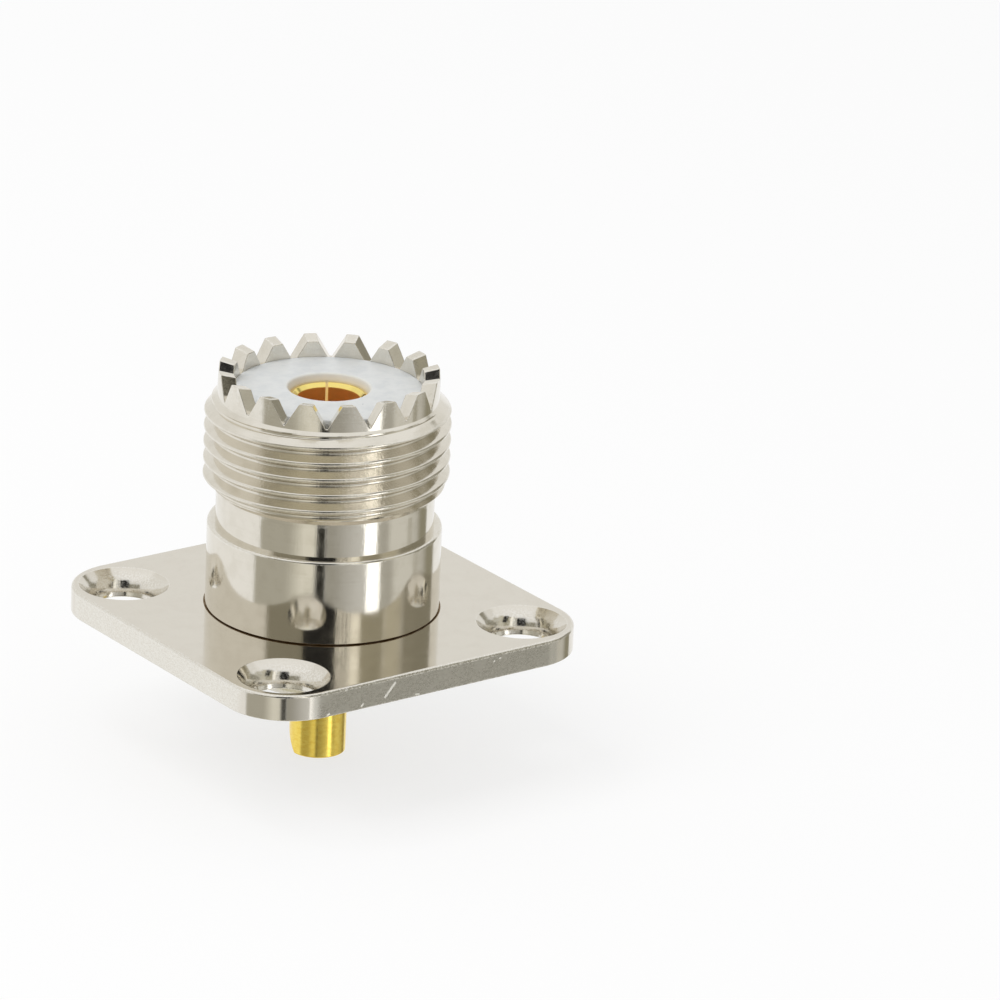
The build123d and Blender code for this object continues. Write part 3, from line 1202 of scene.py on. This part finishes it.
# Cards and lamps that only show in the metal. "around" is from the camera's side, positive to the
# right, and "up" is from level. Then follow the brightness, the warmth of the tint, how soft the
# two upright edges are, and the pitch of slats where there are any. Angles are in degrees, and a
# later card covers the ones before it
studioCards = {
    "farWalls": {"around": (-181, 181), "up": (2, 44), "tone": 0.87, "warm": 0.03, "soft": (2, 2)},
    "table": {"around": (-181, 181), "up": (-95, -32), "tone": 0.78, "warm": 0.07, "soft": (2, 2)},
    "tableFront": {"around": (-88, 112), "up": (-95, -32), "tone": 0.78, "warm": 0.12, "soft": (30, 26)},
    "tableShade": {"around": (-70, 22), "up": (-95, -32), "tone": 0.62, "warm": 0.24, "soft": (16, 40)},
    "tableLamp": {"around": (27, 42), "up": (-58, -30), "tone": 1.35, "warm": 0.03, "soft": (3, 3)},
    "tableBox": {"around": (44, 66), "up": (-58, -30), "tone": 0.52, "warm": 0.25, "soft": (4, 12)},
    "lowLeft": {"around": (-69, -20), "up": (-36, 0), "tone": 0.46, "warm": 0.17, "soft": (4, 3)},
    "lowGlow": {"around": (-27, -5), "up": (-36, 0), "tone": 0.80, "warm": 0.13, "soft": (22, 5)},
    "darkSlit": {"around": (-6, 4), "up": (-26, 0), "tone": 0.03, "warm": 0.2, "soft": (5, 4)},
    "lowFront": {"around": (4, 44), "up": (-36, 0), "tone": 0.38, "warm": 0.13, "soft": (2, 2)},
    "lowFrontPale": {"around": (25, 44), "up": (-36, 0), "tone": 0.64, "warm": 0.04, "soft": (36, 2)},
    "lowRight": {"around": (58, 137), "up": (-36, 0), "tone": 0.46, "warm": 0.13, "soft": (2, 6)},
    "lowRightPale": {"around": (74, 112), "up": (-36, 0), "tone": 0.69, "warm": 0.09, "soft": (8, 36)},
    "lowDoor": {"around": (120, 137), "up": (-36, 4), "tone": 0.3, "warm": 0.3, "soft": (12, 5)},
    "lowShelf": {"around": (100, 107), "up": (-20, 4), "tone": 0.25, "warm": 0.4, "soft": (3, 3)},
    "stripLamp": {"around": (45, 59), "up": (-44, -2), "tone": 1.9, "warm": 0.0, "soft": (2, 2)},
    "wallLeft": {"around": (-54, -14), "up": (0, 31), "tone": 0.31, "warm": 0.22, "soft": (7, 2)},
    "wallFront": {"around": (38, 66), "up": (0, 50), "tone": 0.42, "warm": 0.25, "soft": (4, 8)},
    "wallRight": {"around": (66, 87), "up": (0, 50), "tone": 0.61, "warm": 0.2, "soft": (8, 10)},
    "door": {"around": (87, 137), "up": (0, 29), "tone": 0.31, "warm": 0.22, "soft": (12, 4)},
    "doorTop": {"around": (80, 106), "up": (24, 40), "tone": 0.55, "warm": 0.15, "soft": (8, 8)},
    "window": {"around": (14, 40), "up": (0, 50), "tone": 1.2, "warm": 0.08, "soft": (3, 4)},
    "blind": {"around": (12, 30), "up": (0, 50), "tone": 0.08, "warm": 0.1, "soft": (2, 6), "slats": 3.6},
    "camera": {"around": (-16, 16), "up": (3, 48), "tone": 0.02, "warm": 0.0, "soft": (3, 3)},
    "sleeve": {"around": (50.5, 68), "up": (27, 52), "tone": 0.03, "warm": 0.1, "soft": (2, 6)},
}


def fadedSpan(tree, value, low, high, softLow, softHigh):
    rising = ramp(tree, value, low - softLow / 2, low + softLow / 2)
    falling = ramp(tree, value, high - softHigh / 2, high + softHigh / 2, 1.0, 0.0)
    return times(tree, rising, falling)


def cardMask(tree, azimuth, elevation, card):
    fade = studio["cardFade"]
    mask = times(tree, fadedSpan(tree, azimuth, *card["around"], *card["soft"]),
                 fadedSpan(tree, elevation, *card["up"], fade, fade))
    if "slats" in card:
        wave = calculate(tree, "SINE", times(tree, azimuth, 2 * math.pi / card["slats"]))
        mask = times(tree, mask, ramp(tree, wave, *studio["slatSpread"]))
    return mask


def emptyTree(owner):
    owner.use_nodes = True
    owner.node_tree.nodes.clear()
    return owner.node_tree


def rayKinds(tree):
    # Rays of the camera, and rays that leave the metal as reflections or pass through
    path = addNode(tree, "ShaderNodeLightPath").outputs
    inMetal = calculate(tree, "MAXIMUM", path["Is Glossy Ray"], path["Is Transmission Ray"])
    return path["Is Camera Ray"], inMetal


def mixShaders(tree, share, first, second):
    return addNode(tree, "ShaderNodeMixShader", {0: share, 1: first, 2: second}).outputs[0]


def background(tree, colour, level):
    return addNode(tree, "ShaderNodeBackground", {0: opaque(colour), 1: level}).outputs[0]


def makeWorld():
    world = bpy.data.worlds.new("studio")
    bpy.context.scene.world = world
    tree = emptyTree(world)
    way = addNode(tree, "ShaderNodeTexCoord").outputs["Generated"]
    way = addNode(tree, "ShaderNodeSeparateXYZ", {0: way}).outputs
    # Turned so that the camera's side is at angle 0
    turn = math.radians(shared["cameraSide"])
    ahead, aside = turnedAxes(tree, way[0], way[1], math.cos(turn), math.sin(turn))
    azimuth = calculate(tree, "DEGREES", calculate(tree, "ARCTAN2", aside, ahead))
    elevation = calculate(tree, "DEGREES", calculate(tree, "ARCSINE", way[2]))
    wander = calculate(tree, "SUBTRACT", streaks(tree, (azimuth, elevation), *studio["jagStreaks"]), 0.5)
    azimuth = plus(tree, azimuth, times(tree, wander, studio["jag"]))
    colour = studio["ceiling"]
    for card in studioCards.values():
        tone, warm = card["tone"], card["warm"]
        paint = (tone, tone * (1 - warm * studio["warmGreen"]), tone * (1 - warm))
        colour = blendColours(tree, cardMask(tree, azimuth, elevation, card), colour, paint)
    fromCamera, inMetal = rayKinds(tree)
    plain = background(tree, (1, 1, 1), studio["skyLevel"])
    mixed = mixShaders(tree, inMetal, plain, background(tree, colour, 1.0))
    mixed = mixShaders(tree, fromCamera, mixed, background(tree, (1, 1, 1), 1.0))
    addNode(tree, "ShaderNodeOutputWorld", {0: mixed})


def makeFloor():
    material = bpy.data.materials.new("floorPaper")
    tree = emptyTree(material)
    fromCamera, inMetal = rayKinds(tree)
    shown = calculate(tree, "MAXIMUM", inMetal, fromCamera)
    paper = addNode(tree, "ShaderNodeBsdfDiffuse", {0: opaque(studio["floorPaper"])}).outputs[0]
    white = addNode(tree, "ShaderNodeEmission", {0: (1, 1, 1, 1), 1: 1.0}).outputs[0]
    mixed = mixShaders(tree, times(tree, shown, studio["floorWhite"]), paper, white)
    addNode(tree, "ShaderNodeOutputMaterial", {0: mixed})
    height = (shared["cupTip"] - studio["floorGap"]) * metre
    corners = [(x, y, height) for x, y in squareCorners(studio["floorSize"] / 2)]
    mesh = bpy.data.meshes.new("floor")
    mesh.from_pydata(corners, [], [(0, 1, 2, 3)])
    mesh.materials.append(material)
    floor = placeObject("floor", mesh)
    floor.visible_glossy = False


def makeKeyLamp():
    light = bpy.data.lights.new("keyLamp", "AREA")
    light.shape = "SQUARE"
    light.size = studio["keySize"]
    light.energy = studio["keyPower"]
    lamp = placeObject("keyLamp", light)
    azimuth = math.radians(shared["cameraSide"] + studio["keyAzimuth"])
    elevation = math.radians(studio["keyElevation"])
    level = math.cos(elevation)
    way = Vector((math.cos(azimuth) * level, math.sin(azimuth) * level, math.sin(elevation)))
    lamp.location = way * studio["keyDistance"]
    lamp.rotation_euler = (-way).to_track_quat("-Z", "Y").to_euler()
    lamp.visible_glossy = False


# As fitted to the photo: angles in degrees, lengths in millimetres from the origin
view = {
    "azimuth": -36.725,
    "elevation": 20.360,
    "roll": 2.446,
    "distance": 434.640,
    "right": 11.469,
    "up": 8.150,
    "focus": 6782.362,  # in pixels of the 1000 pixel frame
    "frame": 1000.0,
    "sensor": 36.0,
    "clip": (0.01, 20.0),  # metres
}


def makeCamera():
    azimuth, elevation, roll = (math.radians(view[key]) for key in ("azimuth", "elevation", "roll"))
    level = math.cos(elevation)
    ahead = Vector((-math.sin(azimuth) * level, math.cos(azimuth) * level, -math.sin(elevation)))
    beside = Vector((math.cos(azimuth), math.sin(azimuth), 0.0))
    above = beside.cross(ahead)
    right = beside * math.cos(roll) + above * math.sin(roll)
    up = above * math.cos(roll) - beside * math.sin(roll)
    camera = placeObject("camera", bpy.data.cameras.new("camera"))
    camera.data.sensor_width = view["sensor"]
    camera.data.lens = view["sensor"] * view["focus"] / view["frame"]
    camera.data.clip_start, camera.data.clip_end = view["clip"]
    place = (right * view["right"] + up * view["up"] - ahead * view["distance"]) * metre
    turn = Matrix((right, up, -ahead)).transposed().to_4x4()
    camera.matrix_world = Matrix.Translation(place) @ turn
    bpy.context.scene.camera = camera


makeWorld()
makeFloor()
makeKeyLamp()
makeCamera()
bpy.context.scene.view_settings.view_transform = "Standard"
print("stage: floor, light and camera made")
